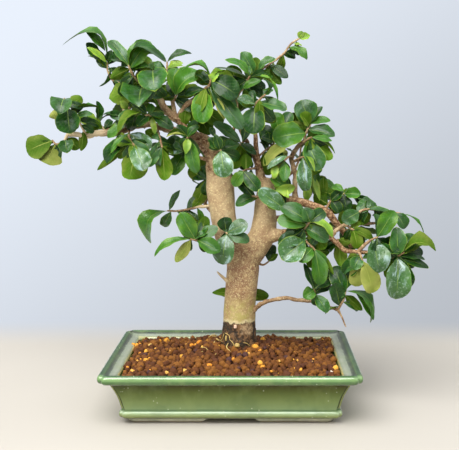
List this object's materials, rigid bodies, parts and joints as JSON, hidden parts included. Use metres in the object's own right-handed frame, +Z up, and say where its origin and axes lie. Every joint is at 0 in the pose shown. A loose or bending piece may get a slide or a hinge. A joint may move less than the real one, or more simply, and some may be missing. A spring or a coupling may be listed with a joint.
{
  "type": "potted bonsai tree",
  "caption": "Small forked tree with glossy oval leaves on side branches, rooted in granular soil in a shallow glazed rectangular pot on four corner feet.",
  "frame": {"origin": "middle of the bounding box in plan, on the table plane under the pot's feet", "axes": "+Z up, +X along the pot's long side to the right as seen from its front, +Y to the back"},
  "size_m": [0.3912, 0.1818, 0.3699],
  "materials": {
    "glaze": "gloss",
    "soil": "matte",
    "bark": "matte",
    "screen": "matte",
    "leaf": "satin"
  },
  "bodies": {
    "root": {"pot": "glaze", "drain_screen_left": "screen", "drain_screen_right": "screen", "soil": "soil", "trunk_and_branches": "bark", "shoot_far_left_tip": "leaf", "shoot_far_left_crown": "leaf", "shoot_left_arm_outer": "leaf", "shoot_left_arm_middle": "leaf", "shoot_left_arm_upper": "leaf", "shoot_left_arm_under": "leaf", "shoot_left_arm_inner": "leaf", "shoot_leader_side": "leaf", "shoot_leader_front": "leaf", "shoot_top_left_front": "leaf", "shoot_top_left_arch": "leaf", "shoot_top_left_tall": "leaf", "shoot_top_left_hero": "leaf", "shoot_top_left_back": "leaf", "shoot_top_middle_left": "leaf", "shoot_top_middle": "leaf", "shoot_top_middle_back": "leaf", "shoot_right_shoot_tip": "leaf", "shoot_right_shoot_base": "leaf", "shoot_middle_front": "leaf", "shoot_middle_low": "leaf", "shoot_fork_front": "leaf", "shoot_inner_front": "leaf", "shoot_left_limb_back": "leaf", "shoot_left_low": "leaf", "shoot_left_front": "leaf", "shoot_fork_low_front": "leaf", "shoot_fork_back_right": "leaf", "shoot_trunk_back_low": "leaf", "shoot_right_knob_upper": "leaf", "shoot_right_limb_front": "leaf", "shoot_right_limb_side": "leaf", "shoot_right_stem_low": "leaf", "shoot_right_stem_left": "leaf", "shoot_right_crown_low": "leaf", "shoot_right_crown_top": "leaf", "shoot_right_stem_right": "leaf", "shoot_right_stem_inner": "leaf", "shoot_right_arm_upper": "leaf", "shoot_right_arm_long": "leaf", "shoot_right_arm_inner": "leaf", "shoot_right_arm_node": "leaf", "shoot_right_arm_under": "leaf", "shoot_right_arm_crescent": "leaf", "shoot_right_tip": "leaf", "shoot_right_knob_hanging": "leaf", "shoot_low_right_end": "leaf", "shoot_low_right_middle": "leaf", "shoot_inner_back": "leaf", "shoot_back_left": "leaf", "shoot_back_top": "leaf", "shoot_back_right": "leaf", "shoot_back_low": "leaf", "shoot_back_arm": "leaf", "shoot_back_middle": "leaf"}
  },
  "joints": []
}
